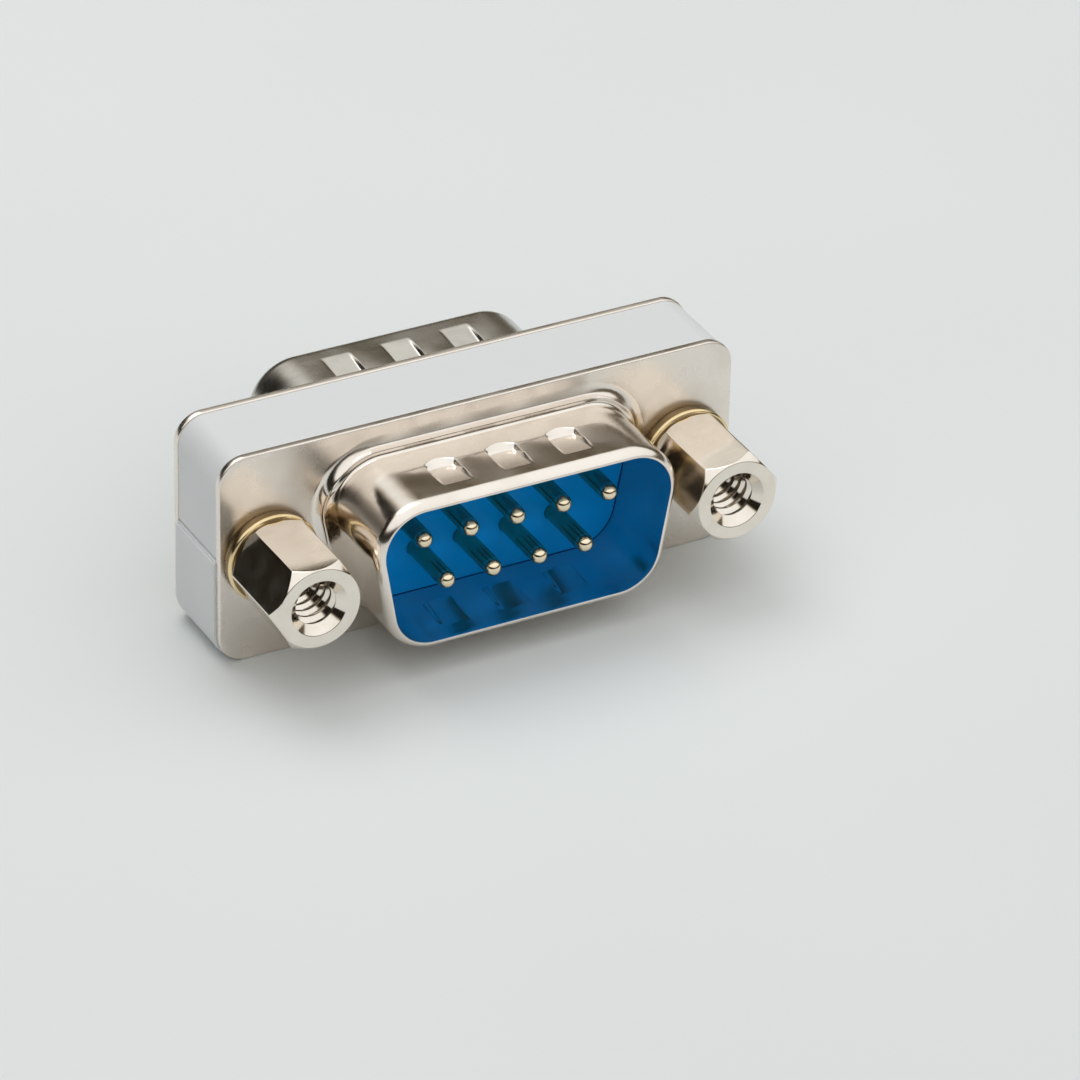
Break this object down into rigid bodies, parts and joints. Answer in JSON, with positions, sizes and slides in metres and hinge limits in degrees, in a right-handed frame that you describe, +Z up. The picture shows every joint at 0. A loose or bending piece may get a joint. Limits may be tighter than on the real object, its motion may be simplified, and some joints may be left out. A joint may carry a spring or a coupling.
{
  "type": "d-sub gender changer",
  "caption": "Slim plug-to-plug adapter: two D-shaped metal connector shells back to back on flanges round a thin plastic housing, with hexagonal screw standoffs in front.",
  "frame": {"origin": "under the middle of the whole part, on the surface that it stands on", "axes": "+X along the flanges to the viewer's right, -Y the way the plug with the standoffs faces, +Z up"},
  "size_m": [0.031, 0.0176, 0.0125],
  "materials": {
    "white_housing": "satin white moulded plastic",
    "nickel_sheet": "nickel-plated drawn steel, satin to bright",
    "blue_insulator": "glossy blue moulded plastic",
    "circuit_board": "green board with copper tracks",
    "nickel_standoff": "bright nickel-plated turned steel",
    "washer_steel": "yellow-passivated spring steel",
    "sleeve_metal": "nickel-plated turned brass",
    "gold_contact": "gold-plated turned brass"
  },
  "bodies": {
    "root": {"housing_upper": "white_housing", "housing_lower": "white_housing", "front_shell": "nickel_sheet", "rear_shell": "nickel_sheet", "front_insulator": "blue_insulator", "rear_insulator": "blue_insulator", "circuit_board": "circuit_board", "standoff_left": "nickel_standoff", "standoff_right": "nickel_standoff", "spring_washer_left": "washer_steel", "spring_washer_right": "washer_steel", "tapped_sleeve_left": "sleeve_metal", "tapped_sleeve_right": "sleeve_metal", "front_pin_1": "gold_contact", "front_pin_2": "gold_contact", "front_pin_3": "gold_contact", "front_pin_4": "gold_contact", "front_pin_5": "gold_contact", "front_pin_6": "gold_contact", "front_pin_7": "gold_contact", "front_pin_8": "gold_contact", "front_pin_9": "gold_contact", "rear_pin_1": "gold_contact", "rear_pin_2": "gold_contact", "rear_pin_3": "gold_contact", "rear_pin_4": "gold_contact", "rear_pin_5": "gold_contact", "rear_pin_6": "gold_contact", "rear_pin_7": "gold_contact", "rear_pin_8": "gold_contact", "rear_pin_9": "gold_contact"}
  },
  "joints": []
}
